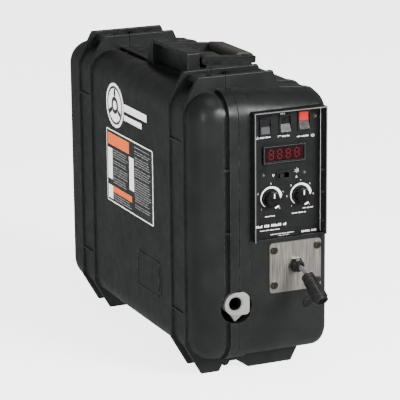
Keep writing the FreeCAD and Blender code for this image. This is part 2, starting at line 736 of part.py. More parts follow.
def cable_gland():
    """The strain relief on the plate: a hexagon and a domed clamping nut."""
    gx, gz = GLAND
    face = -HALF_LENGTH - PLATE_THICK
    hexagon = prism([(gx + 11 * math.cos(math.radians(60 * i)), face - 4,
                      gz + 11 * math.sin(math.radians(60 * i))) for i in range(6)], (0, 4, 0))
    collar = rod("Y", (gx, 0, gz), 8.6, face - 10, face - 4)
    dome = cone("Y", (gx, 0, gz), 5.2, 8.4, face - 15, face - 10)
    shank = rod("Y", (gx, 0, gz), 7.5, face, face + 11)
    whole = join([hexagon, collar, dome, shank])
    bore = rod("Y", (gx, 0, gz), LEAD_D / 2, face - 30, face + 20)
    mouth = cone("Y", (gx, 0, gz), LEAD_D / 2 + 1.2, LEAD_D / 2, face - 15.1, face - 7)
    return cut_all(whole, [bore, mouth])


def route_wire(points):
    """A path of straight runs joined by tangent arcs, and the arcs' radii."""
    pts = [V(*p) for p in points]
    edges = []
    radii = []
    start = pts[0]
    for before, at, after in zip(pts, pts[1:], pts[2:]):
        back, ahead = (before - at), (after - at)
        trim = 0.45 * min(back.Length, ahead.Length)
        back.normalize()
        ahead.normalize()
        half_turn = (math.pi - back.getAngle(ahead)) / 2
        radius = trim / math.tan(half_turn)
        into = at + back * trim
        out_of = at + ahead * trim
        bisector = back + ahead
        bisector.normalize()
        centre = at + bisector * (radius / math.cos(half_turn))
        middle = centre - bisector * radius
        edges.append(Part.LineSegment(start, into).toShape())
        edges.append(Part.Arc(into, middle, out_of).toShape())
        radii.append(radius)
        start = out_of
    edges.append(Part.LineSegment(start, pts[-1]).toShape())
    return Part.Wire(edges), radii


def control_lead():
    """The short trigger lead from the gland to its plug."""
    path, radii = route_wire(LEAD_ROUTE)
    circle = Part.Wire(Part.makeCircle(LEAD_D / 2, V(*LEAD_ROUTE[0]), V(0, -1, 0)))
    lead = path.makePipeShell([circle], True, False)
    expected = math.pi * (LEAD_D / 2) ** 2 * path.Length
    print("lead radii", [round(r, 1) for r in radii], "length", round(path.Length, 1),
          "volume ratio", round(lead.Volume / expected, 4))
    return lead


def plug_frame():
    """The plug's start point and direction, along the lead's last run."""
    bend, end = V(*LEAD_ROUTE[-2]), V(*LEAD_ROUTE[-1])
    direction = (end - bend)
    direction.normalize()
    return bend + direction * PLUG_BACK, direction


def control_plug():
    """A ribbed round plug: backshell, body, knurled coupling ring and contacts' mouth."""
    start, way = plug_frame()
    profile = [
        (0, 0), (0, 7.8), (1.4, 9.2), (7.5, 9.2), (7.5, 8.0), (10.5, 8.0), (10.5, 9.9),
        (26, 9.9), (26, 11.4), (42, 11.4), (42, 9.8), (PLUG_LENGTH, 9.8), (PLUG_LENGTH, 0),
    ]
    outline = [V(r, 0, d) for d, r in profile]
    outline.append(outline[0])
    body = Part.Face(Part.makePolygon(outline)).revolve(V(0, 0, 0), V(0, 0, 1), 360)
    tools = [Part.makeCylinder(8.2, 9, V(0, 0, PLUG_LENGTH - 8)),
             Part.makeCylinder(LEAD_D / 2, 20, V(0, 0, -1))]
    for d in (12.6, 15.8, 19.0, 22.2):
        ring = Part.makeCylinder(11, 1.6, V(0, 0, d)).cut(Part.makeCylinder(8.6, 1.6, V(0, 0, d)))
        tools.append(ring)
    flutes = 20
    for i in range(flutes):
        a = 2 * math.pi * i / flutes
        tools.append(Part.makeCylinder(0.8, 13, V(11.5 * math.cos(a), 11.5 * math.sin(a), 27.5)))
    body = cut_all(body, tools)
    insert = Part.makeCylinder(8.0, 4, V(0, 0, PLUG_LENGTH - 9))
    pins = [Part.makeCylinder(1.1, 7, V(4.2 * math.cos(a), 4.2 * math.sin(a), PLUG_LENGTH - 9))
            for a in (math.pi / 4 + k * math.pi / 2 for k in range(4))]
    body = join([body, insert] + pins)
    turn = FreeCAD.Rotation(V(0, 0, 1), way)
    body.Placement = FreeCAD.Placement(start, turn)
    return body


def hole_plug():
    x, z = HOLE_PLUG
    cap = rod("Y", (x, 0, z), 6.5, -HALF_LENGTH - 1.8, -HALF_LENGTH)
    cap = cap.makeFillet(1.2, [e for e in cap.Edges
                               if abs(e.CenterOfMass.y + HALF_LENGTH + 1.8) < 0.01])
    return cap.fuse(rod("Y", (x, 0, z), 4.9, -HALF_LENGTH, -HALF_LENGTH + 6))


# ------------------------------------------------------------------ gun outlet

def gun_block():
    """The casting in the seam that the gun's inlet pushes into."""
    depth = GUN_REAR - GUN_FRONT
    cheek = rod("Y", (GUN_X, 0, GUN_Z), 16.5, GUN_FRONT, GUN_REAR)
    body = soft_box(GUN_X, -24.5, GUN_FRONT, GUN_REAR, GUN_Z - 17, GUN_Z + 16.4, 6.0)
    flat = box(GUN_X - 20, GUN_X + 30, GUN_FRONT - 1, GUN_REAR + 1, GUN_Z - 40, GUN_Z - 17 + 0.4)
    foot = prism([(-52, GUN_FRONT + 6, GUN_Z - 15), (-30, GUN_FRONT + 6, GUN_Z - 15),
                  (-33, GUN_FRONT + 6, GUN_Z - 19), (-44.5, GUN_FRONT + 6, GUN_Z - 27)], (0, 8, 0))
    bracket = box(-26, BULKHEAD_X, GUN_REAR - 28, GUN_REAR, GUN_Z - 14, GUN_Z + 14)
    x, z, radius = CUTOUT
    outlet = rod("Y", (x, 0, z), radius - 0.4, GUN_FRONT - 1, GUN_REAR + 1)
    whole = join([join([cheek.cut(flat), body.cut(flat), foot]).common(outlet), bracket])
    bore_end = GUN_FRONT + GUN_BORE_DEPTH
    tools = [
        rod("Y", (GUN_X, 0, GUN_Z), GUN_BORE_R, GUN_FRONT - 1, bore_end),
        rod("Y", (GUN_X, 0, GUN_Z), 3.05, bore_end - 1, GUN_REAR + 1),
        cone("Y", (GUN_X, 0, GUN_Z), GUN_BORE_R + 2.0, GUN_BORE_R, GUN_FRONT, GUN_FRONT + 2.0),
        rod("X", (0, GUN_FRONT + depth / 2, GUN_Z), 3.05, GUN_X - 20, GUN_X),
    ]
    return cut_all(whole, tools)


def gun_lock():
    """The thumbscrew that clamps the gun in its block."""
    y = (GUN_FRONT + GUN_REAR) / 2
    shank = rod("X", (0, y, GUN_Z), 3.0, GUN_X - 26, GUN_X - 11.5)
    head = rod("X", (0, y, GUN_Z), 9.0, GUN_X - 36, GUN_X - 25)
    for i in range(10):
        a = 2 * math.pi * i / 10
        head = head.cut(rod("X", (0, y + 9.4 * math.cos(a), GUN_Z + 9.4 * math.sin(a)), 1.6,
                            GUN_X - 37, GUN_X - 24))
    return join([shank, head])


# ------------------------------------------------------------------ bulkhead and drive

def bulkhead():
    """The steel plate that carries the spool and the wire drive."""
    x0, x1 = BULKHEAD_X, BULKHEAD_X + BULKHEAD_THICK
    plate = soft_box(x0, x1, -238, 238, 42, 391, 22.0, "X")
    tools = [
        rod("X", (0, ROLL_Y, lower_z()), 11.0, x0 - 1, x1 + 1),
        rod("X", (0, SPOOL_Y, SPOOL_Z), 8.05, x0 - 1, x1 + 1),
        rod("X", (0, -212, 150), 6.0, x0 - 1, x1 + 1),
    ]
    tools += [rod("X", (0, y, z), 2.2, x0 - 1, x1 + 1) for y, z in post_places()]
    tools.append(box(x0 - 1, x1 + 1, -240, -220, 190, 400))
    return cut_all(plate, tools)


def post_places():
    return ((-215.0, 68.0), (215.0, 68.0), (-34.0, 372.0), (215.0, 365.0))


def bulkhead_fixings():
    """The spacers between the bulkhead and the base's side wall, and their screws."""
    x0, x1 = BULKHEAD_X + BULKHEAD_THICK, BASE_SIDE_X - WALL
    fixings = []
    for y, z in post_places():
        fixings.append(tube("X", (0, y, z), 7.0, 2.0, x0, x1))
        head = rod("X", (0, y, z), 5.5, BULKHEAD_X - 3, BULKHEAD_X)
        shank = rod("X", (0, y, z), 1.9, BULKHEAD_X, BULKHEAD_X + 22)
        slot = box(BULKHEAD_X - 4, BULKHEAD_X - 1.6, y - 6, y + 6, z - 0.6, z + 0.6)
        fixings.append(head.fuse(shank).cut(slot))
    return fixings


def lower_z():
    return GUN_Z - PITCH_R


def upper_z():
    return GUN_Z + PITCH_R


def drive_housing():
    """The cast frame that carries the drive shaft, pressure arm pivot and inlet guide."""
    x1 = BULKHEAD_X
    frame = soft_box(-20, x1, -205 + 6, -96, 62, 132, 6.0, "X")
    lug = soft_box(-50, -18, -125, -115.5, GUN_Z - 7, GUN_Z + 7, 3.0, "Y")
    fork = box(ADJUST_X - 7, -19, ADJUST_Y - 7, ADJUST_Y + 7, 84, 100)
    pivot = rod("X", (0, ARM_PIVOT_Y, GUN_Z), 5.0, -29, -19)
    whole = join([frame, lug, fork, pivot])
    tools = [
        rod("X", (0, ROLL_Y, lower_z()), 10.0, -21, x1 + 1),
        rod("Y", (GUN_X, 0, GUN_Z), 3.05, -126, -115),
        box(ADJUST_X - 4, ADJUST_X + 4, ADJUST_Y - 8, ADJUST_Y + 8, 89, 101),
    ]
    return cut_all(whole, tools)


def shaft_bearing():
    """The bearing that the drive shaft runs in."""
    return tube("X", (0, ROLL_Y, lower_z()), 10.0, 5.05, -20, BULKHEAD_X)


def gear(y, z, x0, x1, phase):
    """A spur gear with straight-flanked teeth."""
    root, tip = PITCH_R - 2.5, PITCH_R + 1.9
    pitch = 2 * math.pi / TEETH
    points = []
    for i in range(TEETH):
        for r, part in ((root, -0.31), (tip, -0.115), (tip, 0.115), (root, 0.31)):
            a = (i + part) * pitch + phase
            points.append((x0, y + r * math.cos(a), z + r * math.sin(a)))
    return prism(points, (x1 - x0, 0, 0))


def drive_gear():
    wheel = gear(ROLL_Y, lower_z(), -38, -29, math.pi / 2)
    return wheel.cut(rod("X", (0, ROLL_Y, lower_z()), 5.0, -40, -28))


def pressure_gear():
    wheel = gear(ROLL_Y, upper_z(), -38, -29, -math.pi / 2 + math.pi / TEETH)
    return wheel.cut(rod("X", (0, ROLL_Y, upper_z()), 5.05, -40, -28))


def feed_roll(z, bore):
    """A grooved feed roll."""
    x0, x1 = GUN_X - 5.5, GUN_X + 5.5
    roll = rod("X", (0, ROLL_Y, z), ROLL_R, x0, x1)
    roll = roll.makeChamfer(0.8, [e for e in roll.Edges if isinstance(e.Curve, Part.Circle)])
    groove = Part.makeTorus(ROLL_R + 0.2, 0.8, V(GUN_X, ROLL_Y, z), AXES["X"])
    roll = roll.cut(groove)
    roll = roll.cut(rod("X", (0, ROLL_Y, z), bore, x0 - 1, x1 + 1))
    for i in range(3):
        a = 2 * math.pi * i / 3 + 0.5
        roll = roll.cut(rod("X", (0, ROLL_Y + 12.5 * math.cos(a), z + 12.5 * math.sin(a)), 2.2,
                            x0 - 1, x1 + 1))
    return roll


def drive_shaft():
    """The output shaft, with the screw head that keeps the roll on."""
    z = lower_z()
    shaft = rod("X", (0, ROLL_Y, z), 5.0, GUN_X - 5.5, BULKHEAD_X + 20)
    head = rod("X", (0, ROLL_Y, z), 8.0, GUN_X - 10, GUN_X - 5.5)
    slot = box(GUN_X - 11, GUN_X - 8, ROLL_Y - 9, ROLL_Y + 9, z - 0.8, z + 0.8)
    return join([shaft, head]).cut(slot)


def pressure_arm():
    """The arm that carries the pressure roll and presses it on the wire."""
    x0, x1 = -27.5, -21.5
    zu = upper_z()
    outline = [
        (ARM_PIVOT_Y - 9, GUN_Z - 8), (ARM_PIVOT_Y - 11, GUN_Z + 6), (-172, zu + 14),
        (-140, zu + 16), (ADJUST_Y - 8, ADJUST_Z + 6), (ADJUST_Y + 6, ADJUST_Z + 6),
        (ADJUST_Y + 6, ADJUST_Z - 5), (ADJUST_Y - 14, ADJUST_Z - 6), (-136, zu - 10),
        (-166, zu - 10), (ARM_PIVOT_Y + 9, GUN_Z - 8),
    ]
    plate = prism([(x0, y, z) for y, z in outline], (x1 - x0, 0, 0))
    plate = plate.makeFillet(3.0, edges_along(plate, "X"))
    pin = rod("X", (0, ROLL_Y, zu), 5.0, GUN_X - 5.6, x1)
    cap = rod("X", (0, ROLL_Y, zu), 7.5, GUN_X - 8.5, GUN_X - 5.6)
    collar = rod("X", (0, ROLL_Y, zu), 6.5, -28.9, x0)
    whole = join([plate, pin, cap, collar])
    hole = rod("X", (0, ARM_PIVOT_Y, GUN_Z), 5.05, x0 - 1, x1 + 1)
    return whole.cut(hole)


def pressure_adjuster():
    """The swinging rod that presses on the arm, hinged at the arm's end."""
    x = ADJUST_X
    eye = rod("X", (0, ADJUST_Y, ADJUST_Z), 6.0, x - 4.5, -27.9)
    stem = rod("Z", (x, ADJUST_Y, 0), 3.0, ADJUST_Z - 50, ADJUST_Z + 44)
    washer = rod("Z", (x, ADJUST_Y, 0), 6.0, ADJUST_Z + 5, ADJUST_Z + 7.5)
    return join([eye, stem, washer])


def adjuster_knob():
    """The fluted knob that sets the spring's pressure."""
    x = ADJUST_X
    z0, z1 = ADJUST_Z + 27, ADJUST_Z + 47
    knob = cone("Z", (x, ADJUST_Y, 0), 10.0, 8.5, z0, z1)
    for i in range(8):
        a = 2 * math.pi * i / 8
        knob = knob.cut(rod("Z", (x + 10.4 * math.cos(a), ADJUST_Y + 10.4 * math.sin(a), 0), 1.8,
                            z0 - 1, z1 + 1))
    return knob.cut(rod("Z", (x, ADJUST_Y, 0), 3.05, z0 - 1, ADJUST_Z + 44.2))


def adjuster_spring():
    """The pressure spring, as separate closed turns around the rod."""
    x = ADJUST_X
    turns = []
    for i in range(6):
        z = ADJUST_Z + 8.9 + i * 3.25
        turns.append(Part.makeTorus(5.2, 0.9, V(x, ADJUST_Y, z), AXES["Z"]))
    return turns


def wire_guides():
    """The tapered tube that leads wire to the rolls, and the one that leads it to the gun."""
    centre = (GUN_X, 0, GUN_Z)
    inlet = join([rod("Y", centre, 3.0, -133, -92), cone("Y", centre, 3.0, 5.5, -100, -92)])
    return [inlet.cut(rod("Y", centre, 1.0, -140, -90)), tube("Y", centre, 3.0, 1.0, -213, -167)]


def feed_wire():
    """The welding wire from the winding, through the rolls, to the end of the gun's bore."""
    start = V(GUN_X, GUN_FRONT + GUN_BORE_DEPTH + 0.8, GUN_Z)
    inlet = V(GUN_X, -93, GUN_Z)
    mouth = V(0, SPOOL_Y - inlet.y, SPOOL_Z - inlet.z)
    reach = math.hypot(mouth.y, mouth.z)
    rise = math.atan2(mouth.z, mouth.y) - math.asin((WINDING_R + 1) / reach)
    run = math.sqrt(reach ** 2 - (WINDING_R + 1) ** 2)
    way = V(0, math.cos(rise), math.sin(rise))
    level = Part.makeCylinder(WIRE_R, inlet.y - start.y, start, V(0, 1, 0))
    slope = Part.makeCylinder(WIRE_R, run, inlet, way)
    knee = Part.makeSphere(WIRE_R, inlet)
    return join([level, slope, knee])


def gearbox():
    x0 = BULKHEAD_X + BULKHEAD_THICK
    box_part = soft_box(x0, x0 + 42, -182, -118, 58, 124, 6.0, "X")
    return box_part.cut(rod("X", (0, ROLL_Y, lower_z()), 5.2, x0 - 1, x0 + 18))


def drive_motor():
    centre = (45, 0, 91)
    can = rod("Y", centre, 31.0, -118, -18)
    can = can.makeFillet(4.0, [e for e in can.Edges if abs(e.CenterOfMass.y + 18) < 0.01])
    tail = rod("Y", centre, 13.0, -18, -8)
    return join([can, tail])


# ------------------------------------------------------------------ spool

def spool_centre():
    return (0, SPOOL_Y, SPOOL_Z)


def spool_shaft():
    """The fixed shaft that the spool hub turns on."""
    shaft = rod("X", spool_centre(), 8.0, SPOOL_LEFT + 3, BULKHEAD_X + BULKHEAD_THICK + 8)
    collar = rod("X", spool_centre(), 16.0, SPOOL_RIGHT + 2.5, BULKHEAD_X)
    nut = rod("X", spool_centre(), 14.0, BULKHEAD_X + BULKHEAD_THICK,
              BULKHEAD_X + BULKHEAD_THICK + 7)
    return join([shaft, collar, nut])


def spool_hub():
    """The hub that the spool slides on, with its drive flange."""
    hub = rod("X", spool_centre(), SPOOL_BORE_R - 0.4, SPOOL_LEFT + 2, SPOOL_RIGHT + 2)
    thread = rod("X", spool_centre(), 19.0, SPOOL_LEFT - 5, SPOOL_LEFT + 2)
    whole = join([hub, thread])
    return whole.cut(rod("X", spool_centre(), 8.1, SPOOL_LEFT + 1, SPOOL_RIGHT + 3))


def hub_nut():
    """The winged ring that keeps the spool on its hub."""
    ring = rod("X", spool_centre(), 37.0, SPOOL_LEFT - 6, SPOOL_LEFT - 0.4)
    for i in range(12):
        a = 2 * math.pi * i / 12
        ring = ring.cut(rod("X", (0, SPOOL_Y + 39 * math.cos(a), SPOOL_Z + 39 * math.sin(a)), 5.0,
                            SPOOL_LEFT - 7, SPOOL_LEFT))
    return ring.cut(rod("X", spool_centre(), 19.05, SPOOL_LEFT - 5.1, SPOOL_LEFT + 1))


def wire_spool():
    """The moulded reel: two pierced flanges on a barrel."""
    left = rod("X", spool_centre(), SPOOL_R, SPOOL_LEFT, SPOOL_LEFT + 4)
    right = rod("X", spool_centre(), SPOOL_R, SPOOL_RIGHT - 4, SPOOL_RIGHT)
    barrel = rod("X", spool_centre(), BARREL_R, SPOOL_LEFT, SPOOL_RIGHT)
    whole = join([left, right, barrel])
    tools = [rod("X", spool_centre(), SPOOL_BORE_R, SPOOL_LEFT - 1, SPOOL_RIGHT + 1),
             tube("X", spool_centre(), BARREL_R - 4, SPOOL_BORE_R + 4, SPOOL_LEFT - 1,
                  SPOOL_RIGHT - 4)]
    webs = []
    for i in range(6):
        a = 2 * math.pi * i / 6
        tools.append(rod("X", (0, SPOOL_Y + 95 * math.cos(a), SPOOL_Z + 95 * math.sin(a)), 20.0,
                         SPOOL_LEFT - 1, SPOOL_LEFT + 5))
        web = box(SPOOL_LEFT, SPOOL_RIGHT, SPOOL_Y + SPOOL_BORE_R + 2, SPOOL_Y + BARREL_R - 2,
                  SPOOL_Z - 1.5, SPOOL_Z + 1.5)
        webs.append(turned(web, spool_centre(), "X", math.degrees(a) + 30))
    return join([cut_all(whole, tools)] + webs)


def wire_winding():
    """The wound wire, as one closed coil between the flanges."""
    x0, x1 = SPOOL_LEFT + 4, SPOOL_RIGHT - 4
    return tube("X", spool_centre(), WINDING_R, BARREL_R, x0, x1)


# ------------------------------------------------------------------ other fittings

def contactor():
    body = soft_box(20, 78, 20, 92, 56, 116, 3.0, "Y")
    studs = [rod("Z", (x, 56, 0), 4.0, 116, 130) for x in (34, 64)]
    return join([body] + studs)


def gas_valve():
    body = soft_box(54, 86, 150, 178, 118, 146, 3.0, "Y")
    coil = rod("Z", (70, 164, 0), 12.0, 146, 178)
    barbs = [rod("Y", (70, 0, 130), 4.0, 140, 150), rod("Y", (70, 0, 130), 5.0, 178, 236)]
    return join([body, coil] + barbs)


def gas_hose():
    """The hose from the valve to the bulkhead's gas fitting."""
    route = ((70.0, 141.0, 130.0), (70.0, 100.0, 140.0), (52.0, -60.0, 150.0),
             (40.0, -190.0, 158.0), (22.0, -212.0, 150.0), (6.0, -212.0, 150.0))
    path, _ = route_wire(route)
    way = V(*route[1]) - V(*route[0])
    circle = Part.Wire(Part.makeCircle(4.0, V(*route[0]), way))
    return path.makePipeShell([circle], True, False)


def gas_fitting():
    """The threaded gas inlet on the rear."""
    gx, gz = GAS_INLET
    face = HALF_LENGTH + SHEET
    hexagon = prism([(gx + 12 * math.cos(math.radians(60 * i)), face,
                      gz + 12 * math.sin(math.radians(60 * i))) for i in range(6)], (0, 4, 0))
    stem = rod("Y", (gx, 0, gz), GAS_STEM_R, HALF_LENGTH - 18, REAR_END)
    return join([hexagon, stem]).cut(rod("Y", (gx, 0, gz), 4.0, face - 6, REAR_END + 1))


def weld_connector():
    """The weld cable socket on the rear."""
    wx, wz = WELD_SOCKET
    face = HALF_LENGTH + SHEET
    flange = rod("Y", (wx, 0, wz), 21.0, face, face + 3)
    body = rod("Y", (wx, 0, wz), 16.0, face - 28, REAR_END)
    return join([flange, body]).cut(rod("Y", (wx, 0, wz), WELD_BORE_R, REAR_END - 24, REAR_END + 1))


def rear_plate():
    """The steel plate that carries the rear fittings."""
    plate = soft_box(8, 92, HALF_LENGTH, HALF_LENGTH + SHEET, 90, 170, 5.0)
    y0, y1 = HALF_LENGTH - 1, HALF_LENGTH + SHEET + 1
    tools = [rod("Y", (WELD_SOCKET[0], 0, WELD_SOCKET[1]), 16.05, y0, y1),
             rod("Y", (GAS_INLET[0], 0, GAS_INLET[1]), GAS_STEM_R + 0.05, y0, y1)]
    tools += [rod("Y", (x, 0, z), 2.2, y0, y1) for x in REAR_SCREW_X for z in REAR_SCREW_Z]
    return cut_all(plate, tools)


def side_labels():
    """The printed label and the plain round badge on the door's side."""
    x0 = DOOR_SIDE_X - 0.4
    label = soft_box(x0, DOOR_SIDE_X, -98.7, 78.1, 191.3, 303.2, 3.0, "X")
    badge = rod("X", (0, 42.4, 342.9), 33.5, x0, DOOR_SIDE_X)
    return [label, badge]


def nodes():
    """Every separate piece by name."""
    front_band, rear_band = bands()
    made = {
        "base_shell": base_shell(),
        "door_shell": door_shell(),
        "case_seal": case_seal(),
        "pivot_pins": pivot_pins(),
        "front_latch": latch(front_band),
        "rear_latch": latch(rear_band),
        "latch_pins": latch_pins(),
        "handle_bail": handle_bail(),
        "handle_grip": handle_grip(),
        "control_panel": control_panel(),
        "guard_rivets": guard_rivets(),
        "switch_frames": switch_frames(),
        "display_bezel": display_bezel(),
        "display_window": display_window(),
        "slider_knob": slider_knob(),
        "potentiometers": potentiometers(),
        "indicator_lamps": indicator_lamps(),
        "control_boards": control_boards(),
        "connector_plate": connector_plate(),
        "plate_screws": plate_screws(),
        "cable_gland": cable_gland(),
        "control_lead": control_lead(),
        "control_plug": control_plug(),
        "hole_plug": hole_plug(),
        "gun_block": gun_block(),
        "gun_lock": gun_lock(),
        "bulkhead": bulkhead(),
        "bulkhead_fixings": bulkhead_fixings(),
        "drive_housing": drive_housing(),
        "shaft_bearing": shaft_bearing(),
        "drive_gear": drive_gear(),
        "pressure_gear": pressure_gear(),
        "drive_roll": feed_roll(lower_z(), 5.0),
        "pressure_roll": feed_roll(upper_z(), 5.05),
        "drive_shaft": drive_shaft(),
        "pressure_arm": pressure_arm(),
        "pressure_adjuster": pressure_adjuster(),
        "adjuster_knob": adjuster_knob(),
        "adjuster_spring": adjuster_spring(),
        "wire_guides": wire_guides(),
        "feed_wire": feed_wire(),
        "gearbox": gearbox(),
        "drive_motor": drive_motor(),
        "spool_shaft": spool_shaft(),
        "spool_hub": spool_hub(),
        "hub_nut": hub_nut(),
        "wire_spool": wire_spool(),
        "wire_winding": wire_winding(),
        "contactor": contactor(),
        "gas_valve": gas_valve(),
        "gas_hose": gas_hose(),
        "gas_fitting": gas_fitting(),
        "weld_connector": weld_connector(),
        "rear_plate": rear_plate(),
        "side_labels": side_labels(),
    }
    for name in ROCKERS:
        made[name] = rocker(name)
    for name, (cx, cz) in KNOBS.items():
        made[name] = control_knob(cx, cz)
    return made


def main():
    os.makedirs("parts", exist_ok=True)
    for name, shape in nodes().items():
        if isinstance(shape, list):
            shape = Part.makeCompound(shape)
        if not shape.isValid():
            print("not valid:", name)
        print(name, len(shape.Solids), round(shape.Volume / 1000, 2), "cm3")
        shape.exportStep("parts/%s.step" % name)


main()
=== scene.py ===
import json
import math
import random

import bmesh
import bpy
from mathutils import Matrix, Vector


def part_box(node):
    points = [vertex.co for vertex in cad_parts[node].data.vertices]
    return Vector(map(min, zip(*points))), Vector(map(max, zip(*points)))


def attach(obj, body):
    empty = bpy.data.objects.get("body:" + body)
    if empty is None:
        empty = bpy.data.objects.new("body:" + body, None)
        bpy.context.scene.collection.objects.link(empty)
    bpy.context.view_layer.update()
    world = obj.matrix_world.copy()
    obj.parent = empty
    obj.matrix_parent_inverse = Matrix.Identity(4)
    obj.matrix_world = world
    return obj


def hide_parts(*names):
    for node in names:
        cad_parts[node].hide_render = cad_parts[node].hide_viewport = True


# The looks of a portable suitcase wire feeder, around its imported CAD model. Metres, in the
# CAD's frame: X to the right seen from the front, -Y out of the front, +Z up.

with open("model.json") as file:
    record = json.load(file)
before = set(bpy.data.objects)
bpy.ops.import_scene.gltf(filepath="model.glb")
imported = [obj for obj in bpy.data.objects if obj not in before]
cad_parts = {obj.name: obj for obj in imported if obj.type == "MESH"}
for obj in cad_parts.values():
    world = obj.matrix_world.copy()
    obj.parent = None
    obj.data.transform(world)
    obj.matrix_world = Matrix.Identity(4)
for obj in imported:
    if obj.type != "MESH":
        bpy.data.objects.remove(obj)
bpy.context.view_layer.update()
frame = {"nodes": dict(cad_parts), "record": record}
NODES = frame["nodes"]
MM = 0.001
LABEL_SEED = 7

# Millimetres from the case's middle to the faces that carry print.
PANEL_FACE = 248.5
DISPLAY_FACE = 250.1
DOOR_FACE = 102.5

# Millimetres across and up the panel to the middle of each dial.
VOLTAGE_DIAL = (11.7, 256.3)
SPEED_DIAL = (57.9, 256.3)

# Heights at which the rockers' painted light and shade change from one half to the other.
POWER_ROCKER_SPLIT = 362.5 * MM
PURGE_ROCKER_SPLIT = 358.5 * MM

# The gun's bore, whose inside is painted dark as shade: its X, Z, radius and the Y of its mouth.
GUN_BORE = (-0.0455, 0.111, 0.0100, -0.2535)

CAMERA_PLACE = (-1.25741, -2.84811, 1.02233)
CAMERA_YAW, CAMERA_PITCH, CAMERA_ROLL = 24.073, 14.870, -0.571
LENS_MM = 193.13
SENSOR_MM = 36.0

FLOOR_HALF = 12.0
FLOOR_GLOW = 3.4
SKY_STRENGTH = 0.28


# ------------------------------------------------------------------ camera

def make_camera():
    """A long lens in front of the door's side, slightly above the case."""
    yaw, pitch, roll = (math.radians(a) for a in (CAMERA_YAW, CAMERA_PITCH, CAMERA_ROLL))
    forward = Vector((math.sin(yaw) * math.cos(pitch), math.cos(yaw) * math.cos(pitch),
                      -math.sin(pitch)))
    level = Vector((math.cos(yaw), -math.sin(yaw), 0))
    up = level.cross(forward)
    right = math.cos(roll) * level + math.sin(roll) * up
    top = -math.sin(roll) * level + math.cos(roll) * up
    camera = bpy.data.objects.new("camera", bpy.data.cameras.new("camera"))
    bpy.context.scene.collection.objects.link(camera)
    camera.data.sensor_width = SENSOR_MM
    camera.data.lens = LENS_MM
    camera.rotation_mode = "QUATERNION"
    camera.rotation_quaternion = Matrix((right, top, -forward)).transposed().to_quaternion()
    camera.location = CAMERA_PLACE
    camera.data.clip_start = 0.05
    camera.data.clip_end = 50.0
    bpy.context.scene.camera = camera


make_camera()


# ------------------------------------------------------------------ trigger lead

LEAD_D = 6.5 * MM
LEAD_ROUTE = (
    (0.0480, -0.2555, 0.1573),
    (0.0480, -0.2685, 0.1573),
    (0.0490, -0.2816, 0.1533),
    (0.0503, -0.2922, 0.1451),
)


def make_lead():
    """The short grey lead from the gland into the plug. Its radius is set at its points, where
    Blender's box of a curve reads it."""
    curve = bpy.data.curves.new("trigger_lead", "CURVE")
    curve.dimensions = "3D"
    curve.bevel_depth = 1.0
    curve.bevel_resolution = 6
    curve.resolution_u = 24
    curve.use_fill_caps = True
    spline = curve.splines.new("NURBS")
    spline.points.add(len(LEAD_ROUTE) - 1)
    for point, place in zip(spline.points, LEAD_ROUTE):
        point.co = (*place, 1)
        point.radius = LEAD_D / 2
    spline.order_u = 3
    spline.use_endpoint_u = True
    lead = bpy.data.objects.new("trigger_lead", curve)
    bpy.context.scene.collection.objects.link(lead)
    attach(lead, "base")
    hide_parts("control_lead")
    return lead


lead = make_lead()


# ------------------------------------------------------------------ materials

